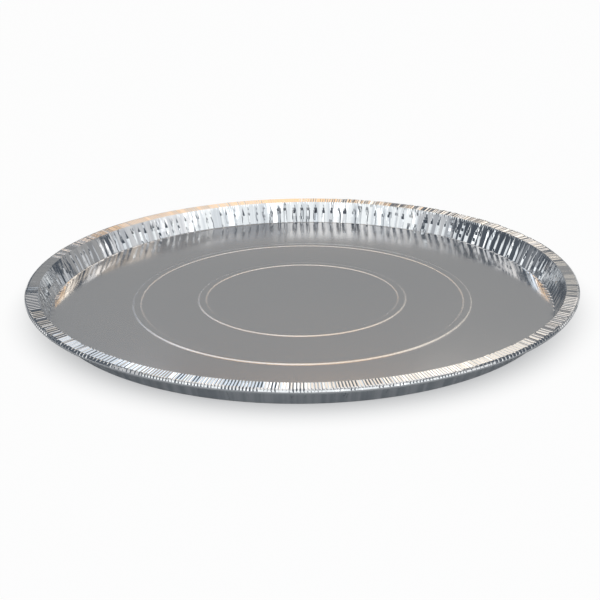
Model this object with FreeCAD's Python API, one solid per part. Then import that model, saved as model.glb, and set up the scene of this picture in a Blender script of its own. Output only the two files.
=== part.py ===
import FreeCAD, Part
import math
import os

# Round shallow drip pan, pressed and curled from one disc of aluminium foil.
# Millimetres, +Z up. The origin is the centre of the underside of the base.
# One sheet runs from the middle outwards: base with two raised ring beads, corner bend, pleated wall,
# flange, rolled rim. Its two skins are built as faces that share edges and are sewn into one solid.

# Driving dimensions
FOIL = 0.10                      # sheet thickness
OVERALL_DIAMETER = 311.0         # over the rolled rim
OVERALL_HEIGHT = 14.3            # underside of the base to the top of the rim
WALL_FLARE = 23.0                # degrees that the wall leans out from upright
CORNER_RADIUS = 1.0              # inside of the bend from the base to the wall
FLANGE_WIDTH = 5.9               # top edge of the wall to the start of the roll
ROLL_DIAMETER = 3.0              # outside of the rolled rim
ROLL_TURN = 270.0                # degrees that the edge is rolled through
PLEAT_COUNT = 180                # folds round the wall
PLEAT_DEPTH = 0.9                # ridge to valley at the top edge of the wall, square to the sheet
PLEAT_REACH = 3.6                # how far a valley runs out over the flange before it is flat
PLEAT_WIDTHS = (1.0, 0.82, 1.16, 0.94, 1.08)  # uneven folds, a group that repeats round the wall
BEAD_DIAMETERS = (114.0, 188.0)  # centre lines of the two stiffening rings in the base
BEAD_WIDTH = 4.8                 # foot to foot on the underside
BEAD_HEIGHT = 0.4                # crown above the base

# Straight runs that stand for each round stretch of the section
BEAD_RUNS = 5
CORNER_RUNS = 3
ROLL_RUNS = 9

# Sizes that follow
flare = math.radians(WALL_FLARE)
roll_radius = ROLL_DIAMETER / 2
roll_centre_r = OVERALL_DIAMETER / 2 - roll_radius
roll_centre_z = OVERALL_HEIGHT - roll_radius
wall_top_r = roll_centre_r - FLANGE_WIDTH
corner_centre_z = FOIL + CORNER_RADIUS
wall_rise = OVERALL_HEIGHT - corner_centre_z + CORNER_RADIUS * math.sin(flare)
corner_centre_r = wall_top_r - wall_rise * math.tan(flare) - CORNER_RADIUS * math.cos(flare)
bead_radius = (BEAD_WIDTH ** 2 / 4 + BEAD_HEIGHT ** 2) / (2 * BEAD_HEIGHT)
bead_centre_z = BEAD_HEIGHT - bead_radius
half_pitch = math.pi * wall_top_r / PLEAT_COUNT
fold_slope = math.atan(PLEAT_DEPTH / half_pitch)

# Way that a point moves at the top edge of the wall when both the wall and the flange move square to
# themselves by 1 mm, inwards and up
edge_out = -math.cos(flare) / (1 + math.sin(flare))
edge_up = 1.0


def point(radius, height, turn=0.0):
    """A point at a radius and a height, turned about the pan's axis by an angle in radians."""
    return FreeCAD.Vector(radius * math.cos(turn), radius * math.sin(turn), height)


def arc_points(centre_r, centre_z, radius, start, end, runs):
    """Points along an arc of the section, from a start to an end angle in degrees above outwards."""
    points = []
    for step in range(runs + 1):
        angle = math.radians(start + (end - start) * step / runs)
        points.append(point(centre_r + radius * math.cos(angle), centre_z + radius * math.sin(angle)))
    return points


def bead_points(diameter, skin):
    """One raised ring bead in the section. The skin is 0 for the underside and FOIL for the top."""
    radius = bead_radius + skin
    foot_angle = math.degrees(math.asin((skin - bead_centre_z) / radius))
    return arc_points(diameter / 2, bead_centre_z, radius, 180 - foot_angle, foot_angle, BEAD_RUNS)


def turned(points):
    """The faces that a run of straight section lines makes when it is turned about the pan's axis."""
    section = Part.makePolygon(points)
    return section.revolve(FreeCAD.Vector(0, 0, 0), FreeCAD.Vector(0, 0, 1), 360).Faces


def flat(*points):
    """A flat face with straight edges through the points."""
    return Part.Face(Part.makePolygon(list(points) + [points[0]]))


def flat_ring(loop, radius, height):
    """The flat sheet between a closed loop of straight edges and a circle about the pan's axis."""
    edge = Part.Wire(Part.makePolygon(loop + [loop[0]]))
    circle = Part.Wire(Part.makeCircle(radius, FreeCAD.Vector(0, 0, height)))
    return Part.makeFace([edge, circle], "Part::FaceMakerBullseye")


def pleat_turns():
    """Angles of the valleys round the wall, and of the ridges halfway between them."""
    widths = [PLEAT_WIDTHS[k % len(PLEAT_WIDTHS)] for k in range(PLEAT_COUNT)]
    scale = 2 * math.pi / sum(widths)
    valleys = [scale * sum(widths[:k]) for k in range(PLEAT_COUNT)]
    ridges = [valley + scale * width / 2 for valley, width in zip(valleys, widths)]
    return valleys, ridges


def pleated_skin(skin):
    """Corner bend, pleated wall and creased flange of one skin: 0 is the underside, FOIL is the top."""
    valleys, ridges = pleat_turns()
    under = FOIL - skin
    flange_z = OVERALL_HEIGHT - under
    bend = arc_points(corner_centre_r, corner_centre_z, CORNER_RADIUS + under, -90, -WALL_FLARE, CORNER_RUNS)
    valley_drop = PLEAT_DEPTH + under / math.cos(fold_slope)
    faces = []
    base_edge = []
    flange_edge = []
    for k in range(PLEAT_COUNT):
        following = (k + 1) % PLEAT_COUNT
        turns = (valleys[k], valleys[following])
        for low, high in zip(bend, bend[1:]):
            left_low, right_low = [point(low.x, low.z, turn) for turn in turns]
            left_high, right_high = [point(high.x, high.z, turn) for turn in turns]
            faces.append(flat(left_low, right_low, right_high, left_high))
        base_edge.append(point(bend[0].x, bend[0].z, valleys[k]))

        foot_left, foot_right = [point(bend[-1].x, bend[-1].z, turn) for turn in turns]
        ridge = point(wall_top_r - under * edge_out, OVERALL_HEIGHT - under * edge_up, ridges[k])
        valley_left, valley_right = [
            point(wall_top_r - valley_drop * edge_out, OVERALL_HEIGHT - valley_drop * edge_up, turn)
            for turn in turns
        ]
        faces.append(flat(foot_left, ridge, valley_left))
        faces.append(flat(foot_left, foot_right, ridge))
        faces.append(flat(foot_right, valley_right, ridge))

        fade_left, fade_right = [point(wall_top_r + PLEAT_REACH, flange_z, turn) for turn in turns]
        faces.append(flat(valley_left, ridge, fade_left))
        faces.append(flat(valley_right, fade_right, ridge))
        flange_edge.extend([fade_left, ridge])
    outer_bead_foot = bead_points(BEAD_DIAMETERS[-1], skin)[-1].x
    faces.append(flat_ring(base_edge, outer_bead_foot, skin))
    faces.append(flat_ring(flange_edge, roll_centre_r, flange_z))
    return faces


def base_skin(skin):
    """The middle of the base of one skin, out to the foot of its outer bead."""
    section = [point(0, skin)]
    for diameter in BEAD_DIAMETERS:
        section.extend(bead_points(diameter, skin))
    return turned(section)


def rolled_rim():
    """Both skins of the roll and its cut edge: over the outside, under, up behind, and back inside."""
    roll_end = 90 - ROLL_TURN
    outside = arc_points(roll_centre_r, roll_centre_z, roll_radius, 90, roll_end, ROLL_RUNS)
    inside = arc_points(roll_centre_r, roll_centre_z, roll_radius - FOIL, roll_end, 90, ROLL_RUNS)
    return turned(outside + inside)


def foil_pan():
    """The whole pan as one closed solid."""
    faces = rolled_rim()
    for skin in (0.0, FOIL):
        faces = faces + base_skin(skin) + pleated_skin(skin)
    sheet = Part.makeShell(faces)
    sheet.sewShape()
    pan = Part.makeSolid(sheet)
    if pan.Volume < 0:
        pan.reverse()
    return pan


os.makedirs("parts", exist_ok=True)
pan = foil_pan()
pan.exportStep("parts/foil_pan.step")
print("foil_pan", pan.isValid(), pan.isClosed(), len(pan.Faces), "faces", round(pan.Volume, 1), "mm3")
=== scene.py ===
import math
import bpy
import numpy as np
from mathutils import Matrix, Vector


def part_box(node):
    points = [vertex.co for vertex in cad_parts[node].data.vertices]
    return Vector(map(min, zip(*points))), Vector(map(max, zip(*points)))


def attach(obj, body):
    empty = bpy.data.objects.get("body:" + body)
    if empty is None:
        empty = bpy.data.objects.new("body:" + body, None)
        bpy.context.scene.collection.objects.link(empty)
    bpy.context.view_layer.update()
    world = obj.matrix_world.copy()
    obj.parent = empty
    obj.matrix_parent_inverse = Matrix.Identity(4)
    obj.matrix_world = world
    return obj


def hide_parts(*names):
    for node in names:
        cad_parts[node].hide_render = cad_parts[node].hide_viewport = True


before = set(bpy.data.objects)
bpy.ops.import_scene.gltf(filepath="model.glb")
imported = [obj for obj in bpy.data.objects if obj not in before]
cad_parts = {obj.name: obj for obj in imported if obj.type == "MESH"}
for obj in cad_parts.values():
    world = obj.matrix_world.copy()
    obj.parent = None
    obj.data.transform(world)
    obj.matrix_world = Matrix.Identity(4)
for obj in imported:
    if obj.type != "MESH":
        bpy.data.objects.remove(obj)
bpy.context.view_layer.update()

# --- Base ------------------------------------------------------------------------------------------------
# The flat middle of the one foil disc, with two raised ring beads pressed in to stiffen it.
# Aluminium foil a tenth of a millimetre thick, stamped in one stroke with the wall and the rim.
MM = 0.001
FOIL = 0.10 * MM
BEAD_RADII = (57.0 * MM, 94.0 * MM)
BEAD_HEIGHT = 0.125 * MM
# A bead's section from its inner to its outer foot: millimetres out, and share of its height
BEAD_PROFILE = ((-3.0, 0), (-2.5, 0.12), (-2.2, 0.5), (-1.9, 0.88), (-1.4, 1), (1.4, 1), (1.8, 0.9),
                (2.1, 0.6), (2.5, 0.3), (3.0, 0.12), (3.6, 0))
FLAT_LAND = 1.5 * MM
BASE_COLUMNS = 144

low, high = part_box("foil_pan")
rim_radius = (high.x - low.x) / 2
pan_height = high.z


def select_open_edges(radius_from, radius_to):
    """Selects, in edit mode, the open edges that lie between two radii."""
    bpy.ops.mesh.select_mode(type="EDGE")
    bpy.ops.mesh.select_all(action="DESELECT")
    bpy.ops.mesh.select_non_manifold(use_wire=True, use_boundary=True, use_multi_face=False,
                                     use_non_contiguous=False, use_verts=False)
    bpy.ops.object.mode_set(mode="OBJECT")
    mesh = bpy.context.object.data
    for edge in mesh.edges:
        middle = (mesh.vertices[edge.vertices[0]].co + mesh.vertices[edge.vertices[1]].co) / 2
        edge.select = edge.select and radius_from < math.hypot(middle.x, middle.y) < radius_to
    bpy.ops.object.mode_set(mode="EDIT")


def press_rings(rings, start):
    """Extrudes the selected loop through rings, each a radius and a height, from the ring it lies on."""
    radius, height = start
    for next_radius, next_height in rings:
        bpy.ops.mesh.extrude_region_move(TRANSFORM_OT_translate={"value": (0, 0, next_height - height)})
        scale = next_radius / radius
        bpy.ops.transform.resize(value=(scale, scale, 1), center_override=(0, 0, 0))
        radius, height = next_radius, next_height


def bead_rings(radius):
    """The section of one raised bead: a low flat-topped ridge with a narrow slope at each side."""
    half_width = BEAD_PROFILE[-1][0] * MM
    rings = [(radius - half_width - FLAT_LAND, FOIL)]
    rings += [(radius + out * MM, FOIL + rise * BEAD_HEIGHT) for out, rise in BEAD_PROFILE]
    return rings + [(radius + half_width + FLAT_LAND, FOIL)]


middle_radius = BEAD_RADII[0] / 2
base_rings = bead_rings(BEAD_RADII[0]) + bead_rings(BEAD_RADII[1])
bpy.ops.object.select_all(action="DESELECT")
bpy.ops.mesh.primitive_circle_add(vertices=BASE_COLUMNS, radius=middle_radius, fill_type="TRIFAN",
                                  location=(0, 0, FOIL))
pan = bpy.context.object
pan.name = "foil_sheet"
bpy.ops.object.transform_apply(location=True)
bpy.ops.object.mode_set(mode="EDIT")
select_open_edges(0, rim_radius)
press_rings(base_rings, (middle_radius, FOIL))
bpy.ops.object.mode_set(mode="OBJECT")

# --- Wall, flange and rolled rim -------------------------------------------------------------------------
# The outer band of the same disc, drawn up over the die: a tight corner, a wall that leans out, and a
# flange. The cut edge is curled under into a hollow roll, which makes the rim stiff and safe to hold.
CORNER_RADIUS = 0.7 * MM
CORNER_ANGLES = (-90, -57, -23)
WALL_FLARE = math.radians(23)
FLANGE_WIDTH = 5.9 * MM
ROLL_RADIUS = 1.5 * MM
ROLL_DROP = 0.36 * MM
ROLL_ANGLES = (95, 66, 40, 8, -40, -110)
WALL_LEVELS = (0.12, 0.27, 0.42, 0.57, 0.72, 0.87, 1.0)
FLANGE_LEVELS = (0.05, 0.94)
PLEATS = 180
COLUMNS_PER_PLEAT = 13
COLUMNS = PLEATS * COLUMNS_PER_PLEAT

wall_top_r = rim_radius - ROLL_RADIUS - FLANGE_WIDTH
corner_z = FOIL + CORNER_RADIUS
wall_rise = pan_height - corner_z + CORNER_RADIUS * math.sin(WALL_FLARE)
corner_r = wall_top_r - wall_rise * math.tan(WALL_FLARE) - CORNER_RADIUS * math.cos(WALL_FLARE)
roll_r = rim_radius - ROLL_RADIUS
roll_z = pan_height - ROLL_DROP - ROLL_RADIUS


def arc_rings(centre_r, centre_z, radius, angles):
    """Rings along an arc of the section, at angles in degrees above outwards."""
    turns = [math.radians(angle) for angle in angles]
    return [(centre_r + radius * math.cos(turn), centre_z + radius * math.sin(turn)) for turn in turns]


def line_rings(start, end, levels):
    """Rings along a straight run of the section, at shares of the way from its start to its end."""
    return [(start[0] + (end[0] - start[0]) * level, start[1] + (end[1] - start[1]) * level)
            for level in levels]


# The section from the base outwards, as rings that the band is drawn through
corner = arc_rings(corner_r, corner_z, CORNER_RADIUS, CORNER_ANGLES)
foot = corner[-1]
wall_top = (wall_top_r, pan_height)
wall = line_rings(foot, wall_top, WALL_LEVELS)
roll = arc_rings(roll_r, roll_z, ROLL_RADIUS, ROLL_ANGLES)
flange = line_rings(wall_top, roll[0], FLANGE_LEVELS)
land = [(corner[0][0] - FLAT_LAND, FOIL)]
section = land + corner + wall + flange + roll

bpy.ops.object.select_all(action="DESELECT")
bpy.ops.mesh.primitive_circle_add(vertices=COLUMNS, radius=section[0][0], fill_type="NOTHING",
                                  location=(0, 0, section[0][1]))
band = bpy.context.object
bpy.ops.object.transform_apply(location=True)
bpy.ops.object.mode_set(mode="EDIT")
bpy.ops.mesh.select_all(action="SELECT")
press_rings(section[1:], section[0])
bpy.ops.object.mode_set(mode="OBJECT")

# --- Pleats and crimps -----------------------------------------------------------------------------------
# Drawing up the wall leaves spare foil, which gathers into narrow V folds of uneven length, some of them
# forked. The die irons what is left of them on the flange into fine crimps, and the rim is a little wavy.
# Folds, with the ranges that each one draws from: its shift in pitches, its slope as a share of the full
# slope, its half width, lean, kink and the spread of its fork in millimetres, and the levels where it
# starts, ends and forks, from 0 at the corner to 1 at the top of the wall
FOLD_SLOPE = 0.8
FOLD_SHIFTS = (-0.2, 0.2)
SLOPE_SHARES = (0.85, 1.12)
FOLD_HALF_WIDTHS = (0.9, 1.6)
FOLD_LEAN = 0.35
FOLD_KINK = 0.15
FORK_SPREADS = (1.0, 2.2)
FOLD_TOES = (-0.5, -0.05)
FOLD_TOPS = (0.85, 1.04)
TOE_LENGTH = 0.45
TOP_FADES_FROM = 0.4
FORK_LEVELS = (0.3, 0.75)
NO_FORK = 2
FORKED_SHARE = 0.4
FAINTEST_FOLD = 0.12
# Depths of the streaks, of the fine creases between the folds and of the crimps. A crimp's width is in
# columns, and its crest above its foot, its foot below the sheet and its unevenness are shares of its depth
STREAK_DEPTH = 0.09 * MM
FINE_CREASE_DEPTH = 0.03 * MM
CRIMP_DEPTH = 0.16 * MM
CRIMP_COLUMNS = 4
WIDE_CRIMP_COLUMNS = 6
CRIMP_CREST = 1.2
CRIMP_FOOT = 0.3
CRIMP_UNEVENNESS = 0.6
BACK_RIGHT_CRUMPLE = 1.6
# Waviness of the rim: size in millimetres, waves in a turn, and seed
RIM_RISES = ((0.08, 9, 13), (0.05, 60, 14))
RIM_BULGES = ((0.12, 11, 15), (0.04, 70, 16))
RIM_PULL_IN = 0.18 * MM
# How far the sheet stays inside the pan's full height and full radius
TOP_CLEARANCE = 0.02 * MM
SIDE_CLEARANCE = 0.03 * MM
# Places round the pan are in degrees, anticlockwise from its right-hand end as seen from above.
# Crimps: share of their full depth, and the stretches where they are wide
CRIMP_PLACES = (0, 20, 40, 75, 95, 150, 185, 205, 255, 275, 300, 340, 360)
CRIMP_SHARES = (0.08, 0.5, 1, 0.7, 0.15, 0.08, 0.06, 1, 1.1, 0.7, 0.6, 0.5, 0.08)
WIDE_CRIMPS = ((185, 240), (300, 352))
# Folds: share of their full slope and width, and how much higher up the wall they start
FOLD_PLACES = (0, 14, 24, 36, 46, 60, 68, 78, 84, 95, 102, 116, 126, 138, 148, 210, 222, 360)
FOLD_SHARES = (1, 1, 0.6, 0.6, 1, 1, 0.9, 0.9, 1, 1, 0.9, 0.9, 1, 0.85, 0.35, 0.4, 1, 1)
FOLD_WIDTHS = (1, 1, 1, 1, 1.15, 1.15, 1, 1.05, 1.1, 1.0, 0.7, 0.6, 0.8, 0.9, 1, 1, 1, 1)
TOE_PLACES = (0, 95, 100, 185, 195, 345, 355, 360)
TOE_SHIFTS = (-0.6, -0.6, 0, 0, 0.5, 0.5, -0.6, -0.6)
# Inner edge of the flange: how far it has sagged, in millimetres
EDGE_PLACES = (0, 20, 45, 90, 120, 140, 155, 168, 180, 200, 225, 250, 275, 315, 340, 350, 360)
EDGE_FALLS = (0.5, 0.7, 0.95, 1.12, 1.2, 1.25, 1.1, 0.8, 0.56, 0.15, -0.12, -0.1, 0, 0, 0.1, 0.3, 0.5)


def smooth(low_end, high_end, value):
    """0 below the low end, 1 above the high end, and an even curve between them."""
    share = np.clip((value - low_end) / (high_end - low_end), 0, 1)
    return share * share * (3 - 2 * share)


def wobble(turn, count, seed):
    """Smooth random values from -1 to 1 round the pan, with about count bumps in a turn."""
    knots = np.random.default_rng(seed).uniform(-1, 1, count)
    place = (turn / (2 * math.pi) * count) % count
    first = np.floor(place).astype(int)
    share = smooth(0, 1, place - first)
    return knots[first % count] * (1 - share) + knots[(first + 1) % count] * share


def waves(turn, table):
    """The wobbles of a table added up, in metres."""
    return sum(size * MM * wobble(turn, count, seed) for size, count, seed in table)


# Distances along the section, in metres from the land in the base
path = np.array(section)
run = np.concatenate([[0], np.cumsum(np.hypot(*np.diff(path, axis=0).T))])
tangent = np.gradient(path, axis=0)
tangent /= np.hypot(tangent[:, 0], tangent[:, 1])[:, None]
corner_start = run[len(land)]
corner_end = run[len(land) + len(corner) - 1]
wall_end = run[len(land) + len(corner) + len(wall) - 1]
roll_start = run[len(land) + len(corner) + len(wall) + len(flange)]

# Depth of the folds at each ring of the section and each column round the pan
wall_run = 2 * math.pi * wall_top_r
column_width = wall_run / COLUMNS
pitch = wall_run / PLEATS
places_round = np.arange(COLUMNS) * column_width
levels = np.clip((run - corner_end) / (wall_end - corner_end), 0, 1)
rng = np.random.default_rng(7)
folds = np.zeros((len(path), COLUMNS))
for pleat in range(PLEATS):
    start = (pleat + rng.uniform(*FOLD_SHIFTS)) * pitch
    lean = rng.normal(0, FOLD_LEAN) * MM
    kink = rng.normal(0, FOLD_KINK) * MM
    kink_at = rng.uniform(0, 1)
    turned = 360 * start / wall_run
    half_width = rng.uniform(*FOLD_HALF_WIDTHS) * MM * np.interp(turned, FOLD_PLACES, FOLD_WIDTHS)
    slope = FOLD_SLOPE * rng.uniform(*SLOPE_SHARES) * np.interp(turned, FOLD_PLACES, FOLD_SHARES)
    toe = rng.uniform(*FOLD_TOES) + np.interp(turned, TOE_PLACES, TOE_SHIFTS)
    top = rng.uniform(*FOLD_TOPS)
    forked = rng.random() < FORKED_SHARE
    fork_at = rng.uniform(*FORK_LEVELS) if forked else NO_FORK
    spread = rng.uniform(*FORK_SPREADS) * MM
    for row, level in enumerate(levels):
        strength = float(smooth(toe, toe + TOE_LENGTH, level) * (1 - smooth(TOP_FADES_FROM, top, level)))
        if strength <= FAINTEST_FOLD:
            continue
        middle = start + lean * level + kink * math.sin(2 * math.pi * (level + kink_at))
        middle = round(middle / column_width) * column_width
        width = max(1, round(half_width * strength / column_width)) * column_width
        apart = round(max(0, level - fork_at) * spread / column_width) * column_width
        for arm in (-1, 1):
            across = (places_round - middle - arm * apart + wall_run / 2) % wall_run - wall_run / 2
            folds[row] = np.minimum(folds[row], -slope * np.clip(width - np.abs(across), 0, None))

# The band's points, each moved square to the section by the folds, streaks and crimps
places = np.empty(len(band.data.vertices) * 3)
band.data.vertices.foreach_get("co", places)
places = places.reshape(-1, 3)
radius = np.hypot(places[:, 0], places[:, 1])
turn = np.arctan2(places[:, 1], places[:, 0]) % (2 * math.pi)
degrees_round = np.degrees(turn)
at_back, at_right = np.sin(turn), np.cos(turn)
column = np.rint(turn / (2 * math.pi) * COLUMNS).astype(int) % COLUMNS
ring = np.hypot(radius[:, None] - path[:, 0], places[:, 2][:, None] - path[:, 1]).argmin(axis=1)
along = run[ring]
up = np.clip((along - corner_end) / (wall_end - corner_end), 0, 1)
below_edge = 1 - smooth(wall_end - 1.5 * MM, wall_end + 0.5 * MM, along)
past_edge = smooth(wall_end - 1.2 * MM, wall_end + 0.4 * MM, along)

depth = folds[ring, column] * below_edge * smooth(corner_start, corner_end, along)
fine = wobble(turn, PLEATS * 4, 10) + 0.6 * wobble(turn, PLEATS * 3, 11)
depth += FINE_CREASE_DEPTH * fine * smooth(0.5, 0.95, up) * (0.35 + 0.65 * below_edge)
streak = wobble(turn, PLEATS * 2, 18) * smooth(0.05, 0.5, up) * below_edge * smooth(0.2, 0.5, -at_back)
depth += STREAK_DEPTH * streak
wide = np.any([(degrees_round > first) & (degrees_round < last) for first, last in WIDE_CRIMPS], axis=0)
crimp_columns = np.where(wide, WIDE_CRIMP_COLUMNS, CRIMP_COLUMNS)
crimp = CRIMP_CREST * (column % crimp_columns == 0) - CRIMP_FOOT
crimp = crimp * (1 + CRIMP_UNEVENNESS * wobble(turn, 400, 12))
crimp *= np.interp(degrees_round, CRIMP_PLACES, CRIMP_SHARES)
crumple = BACK_RIGHT_CRUMPLE * wobble(turn, 640, 17)
crimp += crumple * smooth(0.1, 0.5, at_back) * smooth(-0.1, 0.5, at_right)
depth += CRIMP_DEPTH * crimp * past_edge
radius = radius - tangent[ring, 1] * depth
height = places[:, 2] + tangent[ring, 0] * depth

# The rim's waves and sag, kept inside the pan's height and radius
lift = smooth(0.2, 1.0, up)
height += lift * waves(turn, RIM_RISES)
edge = lift * (1 - np.clip((along - wall_end) / (roll_start - wall_end), 0, 1))
height -= edge * np.interp(degrees_round, EDGE_PLACES, EDGE_FALLS) * MM
height -= lift * (height.max() - pan_height + TOP_CLEARANCE)
height = np.maximum(height, FOIL)
radius += lift * (waves(turn, RIM_BULGES) - RIM_PULL_IN)
radius = np.minimum(radius, rim_radius - SIDE_CLEARANCE)
places = np.stack([radius * np.cos(turn), radius * np.sin(turn), height], axis=1)
band.data.vertices.foreach_set("co", places.ravel())
band.data.update()

# --- The whole sheet -------------------------------------------------------------------------------------
# Base and band are one piece of foil, so they are joined edge to edge and given one thickness.
# The creased wall, the flange and the top of the roll are crisp. The base, the corner and the outside
# of the roll are smooth.
CRISP_ABOVE = 0.8 * MM
CROWN_REACH = 0.5 * MM
CROWN_DEPTH = 0.05 * MM

bpy.ops.object.select_all(action="DESELECT")
band.select_set(True)
pan.select_set(True)
bpy.context.view_layer.objects.active = pan
bpy.ops.object.join()
bpy.ops.object.mode_set(mode="EDIT")
select_open_edges(base_rings[-1][0] - 1 * MM, section[0][0] + 0.2 * MM)
bpy.ops.mesh.fill(use_beauty=False)
bpy.ops.mesh.select_all(action="SELECT")
bpy.ops.mesh.normals_make_consistent(inside=False)
bpy.ops.object.mode_set(mode="OBJECT")
middle_face = min(pan.data.polygons, key=lambda face: face.center.length)
if middle_face.normal.z < 0:
    bpy.ops.object.mode_set(mode="EDIT")
    bpy.ops.mesh.flip_normals()
    bpy.ops.object.mode_set(mode="OBJECT")
bpy.ops.object.shade_smooth()
thickness = pan.modifiers.new("thickness", "SOLIDIFY")
thickness.thickness = FOIL
thickness.offset = -1
bpy.ops.object.modifier_apply(modifier=thickness.name)
for face in pan.data.polygons:
    out = math.hypot(face.center.x, face.center.y)
    above_corner = out > foot[0] - 0.1 * MM and face.center.z > CRISP_ABOVE
    outside_roll = out >= roll_r + CROWN_REACH and face.center.z <= roll_z - CROWN_DEPTH
    face.use_smooth = outside_roll or not above_corner
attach(pan, "root")
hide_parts("foil_pan")

# --- Foil finish -----------------------------------------------------------------------------------------
# Bright rolled aluminium: faint rolling lines run across the base, and the wall is painted darker in soft
# upright streaks, a painted reflection of an uneven surround. The beads' slopes and the back of the base
# are rubbed a little matt.
FOIL_COOL = (0.84, 0.845, 0.855, 1)
FOIL_WARM = (0.885, 0.88, 0.87, 1)
# Darker colour painted on the wall in upright streaks as painted reflection: its colour, strength, streaks
# in a turn and edges
PAINTED_REFLECTION_STREAK = (0.55, 0.57, 0.60, 1)
PAINTED_STREAK_STRENGTH = 0.7
PAINTED_STREAKS_ROUND = 34.0
PAINTED_STREAK_EDGES = (0.38, 0.64)
ROLLING_LINES = (5.0, 700.0, 5.0)
CLOUD_SCALE = 16.0
GRAIN_SCALE = 900.0
CLOUD_TINT = 0.6
LINE_TINT = 0.4
BEAD_SLOPE_OUT = 2.2 * MM
RUBBED_FROM = 30 * MM
RUBBED_TO = 110 * MM
# Roughness of plain foil, and what each kind of wear or pattern adds to it
PLAIN_ROUGHNESS = 0.06
BASE_ROUGHNESS = 0.027
LINE_ROUGHNESS = 0.03
CLOUD_ROUGHNESS = 0.015
SLOPE_ROUGHNESS = 0.16
RUBBED_ROUGHNESS = 0.08
# Heights of the relief, in millimetres
LINE_RELIEF = 0.006
CLOUD_RELIEF = 0.006
GRAIN_RELIEF = 0.003


class Wire:
    """A shader node's output, on which arithmetic adds Math nodes. With no socket it only starts a tree."""

    def __init__(self, tree, socket=None):
        self.tree = tree
        self.socket = socket

    def node(self, kind, output, settings=None, values=None):
        """A new node's output, after its settings are set and then the values or wires of its inputs."""
        made = self.tree.nodes.new(kind)
        for name, value in (settings or {}).items():
            setattr(made, name, value)
        for name, value in (values or {}).items():
            if isinstance(value, Wire):
                self.tree.links.new(value.socket, made.inputs[name])
            else:
                made.inputs[name].default_value = value
        return Wire(self.tree, made.outputs[output])

    def into(self, node, name):
        """Links this wire to an input of a node that is there already."""
        self.tree.links.new(self.socket, node.inputs[name])

    def maths(self, operation, *values):
        return self.node("ShaderNodeMath", 0, {"operation": operation}, dict(enumerate(values)))

    def vector(self, operation, *values, output="Vector"):
        return self.node("ShaderNodeVectorMath", output, {"operation": operation}, dict(enumerate(values)))

    def rising(self, low_end, high_end):
        """0 below the low end, 1 above the high end, and an even curve between them."""
        return self.node("ShaderNodeMapRange", 0, {"interpolation_type": "SMOOTHSTEP"},
                         {"Value": self, "From Min": low_end, "From Max": high_end})

    def noise(self, scale, detail, roughness):
        return self.node("ShaderNodeTexNoise", "Fac", None,
                         {"Vector": self, "Scale": scale, "Detail": detail, "Roughness": roughness})

    def blend(self, first, second):
        """A colour between two others, by this wire's share."""
        return self.node("ShaderNodeMix", 2, {"data_type": "RGBA"}, {0: self, 6: first, 7: second})

    def __add__(self, other):
        return self.maths("ADD", self, other)

    def __radd__(self, other):
        return self.maths("ADD", other, self)

    def __sub__(self, other):
        return self.maths("SUBTRACT", self, other)

    def __rsub__(self, other):
        return self.maths("SUBTRACT", other, self)

    def __mul__(self, other):
        return self.maths("MULTIPLY", self, other)

    def __rmul__(self, other):
        return self.maths("MULTIPLY", other, self)

    def __abs__(self):
        return self.maths("ABSOLUTE", self)


def object_place(tree):
    """Where a point of the surface lies, and the same point brought down to the floor."""
    place = Wire(tree).node("ShaderNodeTexCoord", "Object")
    return place, place.vector("MULTIPLY", place, (1, 1, 0))


foil = bpy.data.materials.new("bright_foil")
foil.use_nodes = True
foil_shader = foil.node_tree.nodes["Principled BSDF"]
foil_shader.inputs["Metallic"].default_value = 1.0
place, plan = object_place(foil.node_tree)
from_middle = plan.vector("LENGTH", plan, output="Value")
on_base = 1 - from_middle.rising(corner_r - 3 * MM, corner_r + 1 * MM)
on_wall = (1 - on_base) * (1 - from_middle.rising(wall_top_r - 1 * MM, wall_top_r + 0.5 * MM))
on_slopes = 0
for bead_radius in BEAD_RADII:
    off_slope = abs(abs(from_middle - bead_radius) - BEAD_SLOPE_OUT)
    on_slopes = on_slopes + (1 - off_slope.rising(0.2 * MM, 0.8 * MM))
lines = place.vector("MULTIPLY", place, ROLLING_LINES).noise(1.0, 4.0, 0.65)
clouds = place.noise(CLOUD_SCALE, 3.0, 0.5)
grain = place.noise(GRAIN_SCALE, 2.0, 0.6)
painted_streaks = plan.vector("NORMALIZE", plan).noise(PAINTED_STREAKS_ROUND, 2.0, 0.5).rising(*PAINTED_STREAK_EDGES)
towards_back = place.node("ShaderNodeSeparateXYZ", "Y", None, {"Vector": place})
rubbed = towards_back.rising(RUBBED_FROM, RUBBED_TO) * on_base

roughness = PLAIN_ROUGHNESS + on_base * BASE_ROUGHNESS + lines * on_base * LINE_ROUGHNESS
roughness = roughness + clouds * CLOUD_ROUGHNESS + on_slopes * SLOPE_ROUGHNESS + rubbed * RUBBED_ROUGHNESS
roughness.into(foil_shader, "Roughness")
tint = (clouds * CLOUD_TINT + lines * LINE_TINT).blend(FOIL_COOL, FOIL_WARM)
# The wall's darker upright streaks are painted reflection.
(painted_streaks * on_wall * PAINTED_STREAK_STRENGTH).blend(tint, PAINTED_REFLECTION_STREAK).into(foil_shader, "Base Color")
relief = lines * on_base * LINE_RELIEF + clouds * on_base * CLOUD_RELIEF + grain * GRAIN_RELIEF
bump = relief.node("ShaderNodeBump", 0, None, {"Strength": 1.0, "Distance": MM, "Height": relief})
bump.into(foil_shader, "Normal")
pan.data.materials.clear()
pan.data.materials.append(foil)

# --- Floor -----------------------------------------------------------------------------------------------
# A wide sheet of matt paper for the pan to lie on, a darker grey-blue near the pan: painted shade that
# deepens the pan's own soft shadow and darkens the floor that the foil mirrors. To the camera it fades from
# that shadow to plain white, and in reflections it grows pale away from the pan.
FLOOR_SIZE = 24.0
# Grey-blue of the paper where it shows near the pan: painted shade
SHADE_PAINTED_PAPER = (0.55, 0.575, 0.605, 1)
PAPER_ROUGHNESS = 0.9
CLEAR_TO_CAMERA = 0.97
CLEAR_IN_REFLECTIONS = 0.93

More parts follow.
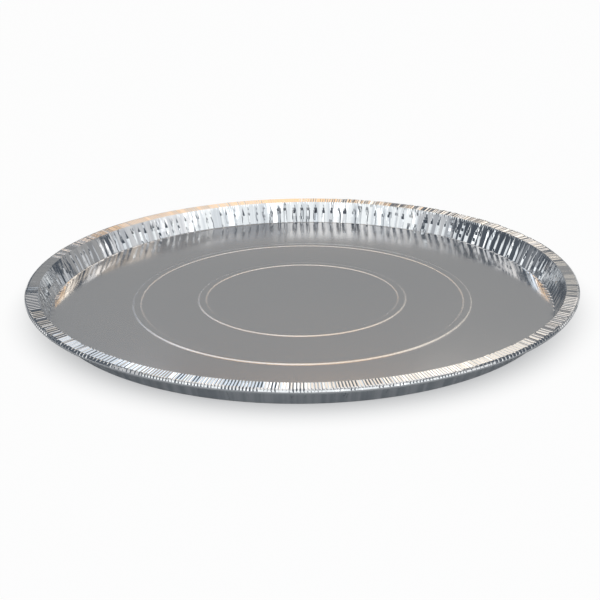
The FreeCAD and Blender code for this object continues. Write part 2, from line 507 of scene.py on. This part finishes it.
bpy.ops.object.select_all(action="DESELECT")
bpy.ops.mesh.primitive_plane_add(size=FLOOR_SIZE, location=(0, 0, 0))
floor = bpy.context.object
floor.name = "studio_floor"
paper = bpy.data.materials.new("paper_with_painted_shade")
paper.use_nodes = True
paper_nodes = paper.node_tree.nodes
matt = paper_nodes["Principled BSDF"]
matt.inputs["Base Color"].default_value = SHADE_PAINTED_PAPER
matt.inputs["Roughness"].default_value = PAPER_ROUGHNESS
matt.inputs["Specular IOR Level"].default_value = 0.0
place, plan = object_place(paper.node_tree)
from_pan = plan.vector("LENGTH", plan, output="Value")
plain = place.node("ShaderNodeEmission", 0, None, {"Color": (1, 1, 1, 1), "Strength": 1.0})
by_camera = place.node("ShaderNodeLightPath", "Is Camera Ray")
by_shine = place.node("ShaderNodeLightPath", "Is Glossy Ray")
by_shine = by_shine + place.node("ShaderNodeLightPath", "Is Transmission Ray")
# Near the pan the grey-blue paper shows as painted shade; further out the floor turns plain white
past_shadow = CLEAR_TO_CAMERA * from_pan.rising(corner_r - 28 * MM, rim_radius + 16 * MM)
far_off = CLEAR_IN_REFLECTIONS * from_pan.rising(corner_r - 30 * MM, rim_radius + 250 * MM)
faded = by_camera * past_shadow + by_shine * far_off
layers = {0: faded, 1: Wire(paper.node_tree, matt.outputs[0]), 2: plain}
place.node("ShaderNodeMixShader", 0, None, layers).into(paper_nodes["Material Output"], "Surface")
floor.data.materials.append(paper)

# --- Light -----------------------------------------------------------------------------------------------
# A dim room with softboxes in front of the pan and low warm and cool ones behind it, which the foil
# mirrors. The camera sees a pale backdrop in place of the room.
ROOM = (0.098, 0.115, 0.138, 1)
BACKDROP = (0.985, 0.985, 0.985, 1)
FRONT_RADIANCE = 0.96
FRONT_COLOUR = (0.97, 1.0, 1.0)

world = bpy.data.worlds.new("studio")
bpy.context.scene.world = world
world.use_nodes = True
room = world.node_tree.nodes["Background"]
room.inputs["Color"].default_value = ROOM
seen = Wire(world.node_tree).node("ShaderNodeLightPath", "Is Camera Ray")
backdrop = seen.node("ShaderNodeBackground", 0, None, {"Color": BACKDROP, "Strength": 1.0})
layers = {0: seen, 1: Wire(world.node_tree, room.outputs[0]), 2: backdrop}
seen.node("ShaderNodeMixShader", 0, None, layers).into(world.node_tree.nodes["World Output"], "Surface")


def softbox(name, azimuth, elevation, distance, width, height, radiance, colour=(1, 1, 1)):
    """A rectangular area lamp that faces the pan. Azimuth is turned right from the front, in degrees."""
    across, upwards = math.radians(azimuth), math.radians(elevation)
    level = Vector((math.sin(across), -math.cos(across), 0)) * math.cos(upwards)
    spot = (level + Vector((0, 0, math.sin(upwards)))) * distance
    data = bpy.data.lights.new(name, "AREA")
    data.shape = "RECTANGLE"
    data.size = width
    data.size_y = height
    data.energy = radiance * width * height * math.pi
    data.color = colour
    lamp = bpy.data.objects.new(name, data)
    bpy.context.scene.collection.objects.link(lamp)
    lamp.location = spot
    lamp.rotation_euler = (-spot).to_track_quat("-Z", "Y").to_euler()


# Azimuth and elevation in degrees, distance, width and height in metres, then radiance and colour
softbox("front_right_box", 25.5, 30, 2.4, 0.98, 1.0, FRONT_RADIANCE, FRONT_COLOUR)
softbox("right_box", 47.5, 26, 2.4, 0.93, 1.1, FRONT_RADIANCE, FRONT_COLOUR)
softbox("far_right_box", 67, 24, 2.4, 0.75, 1.0, 0.85)
softbox("right_end_box", 90.5, 24, 2.4, 1.2, 1.0, 0.58)
softbox("front_left_box", -31, 30, 2.4, 0.94, 1.0, FRONT_RADIANCE, FRONT_COLOUR)
softbox("left_box", -51.5, 26, 2.4, 0.8, 1.1, FRONT_RADIANCE, FRONT_COLOUR)
softbox("far_left_box", -71, 24, 2.4, 0.85, 1.0, 0.5)
softbox("left_side_panel", -137, 17, 2.6, 1.2, 1.1, 0.12)
softbox("front_middle_box", -3, 30, 2.4, 1.45, 1.0, FRONT_RADIANCE, FRONT_COLOUR)
softbox("front_top_panel", 0, 74, 2.4, 3.0, 0.85, 0.36)
softbox("right_side_panel", 134, 17, 2.6, 2.2, 1.1, 0.29, (1.0, 0.95, 0.88))
softbox("right_top_panel", 100, 62, 2.3, 1.4, 1.0, 0.2, (1.0, 0.93, 0.85))
softbox("left_top_panel", -60, 70, 2.3, 2.6, 1.2, 0.5, (1.0, 0.98, 0.95))
softbox("high_key", 180, 80, 2.6, 1.7, 0.9, 0.5, (1.0, 0.88, 0.72))
softbox("rear_warm", 173, 36.3, 2.4, 0.67, 0.43, 0.95, (1.0, 0.87, 0.73))
softbox("rear_cool", -172.5, 36.3, 2.4, 0.54, 0.43, 0.85, (0.82, 0.91, 1.0))
softbox("rear_warm_low", -177.5, 29.6, 2.4, 0.76, 0.125, 1.2, (1.0, 0.64, 0.33))
softbox("rear_fill", 180, 26.9, 2.4, 1.8, 0.11, 0.18, (1.0, 0.88, 0.8))
softbox("rear_cool_low", -164.5, 29.8, 2.4, 0.5, 0.27, 0.8, (0.85, 0.92, 1.0))
softbox("rear_warm_right", 165.5, 29.8, 2.4, 0.5, 0.27, 0.9, (1.0, 0.9, 0.76))
softbox("rear_high", 180, 51, 2.4, 2.3, 0.8, 0.9, (1.0, 0.96, 0.92))
softbox("left_rear_low", -155, 6.5, 3.0, 1.0, 0.45, 0.26, (1.0, 0.9, 0.78))
softbox("right_rear_warm", 138, 50, 2.4, 1.6, 0.7, 0.4, (1.0, 0.83, 0.65))
softbox("rear_low_panel", 172, 17, 3.0, 2.4, 0.9, 0.197, (1.0, 0.94, 0.85))

# --- Camera ----------------------------------------------------------------------------------------------
# Looks down at the pan from the front, at about arm's length, through a fairly long lens.
# It is rolled by a fraction of a degree, as when it is held in the hand.
CAMERA_DISTANCE = 731.4 * MM
CAMERA_ELEVATION = math.radians(20.77)
CAMERA_ROLL = math.radians(-0.61)
CAMERA_LENS = 76.47
SENSOR_WIDTH = 36
AIM = Vector((-1.24 * MM, 0, -1.90 * MM))

camera_data = bpy.data.cameras.new("camera")
camera_data.sensor_width = SENSOR_WIDTH
camera_data.lens = CAMERA_LENS
camera_data.clip_start = 0.01
camera = bpy.data.objects.new("camera", camera_data)
bpy.context.scene.collection.objects.link(camera)
camera.location = Vector((0, -math.cos(CAMERA_ELEVATION), math.sin(CAMERA_ELEVATION))) * CAMERA_DISTANCE
look = (AIM - camera.location).to_track_quat("-Z", "Y").to_matrix()
camera.rotation_euler = (look @ Matrix.Rotation(CAMERA_ROLL, 3, "Z")).to_euler()
bpy.context.scene.camera = camera
bpy.context.scene.view_settings.view_transform = "Standard"
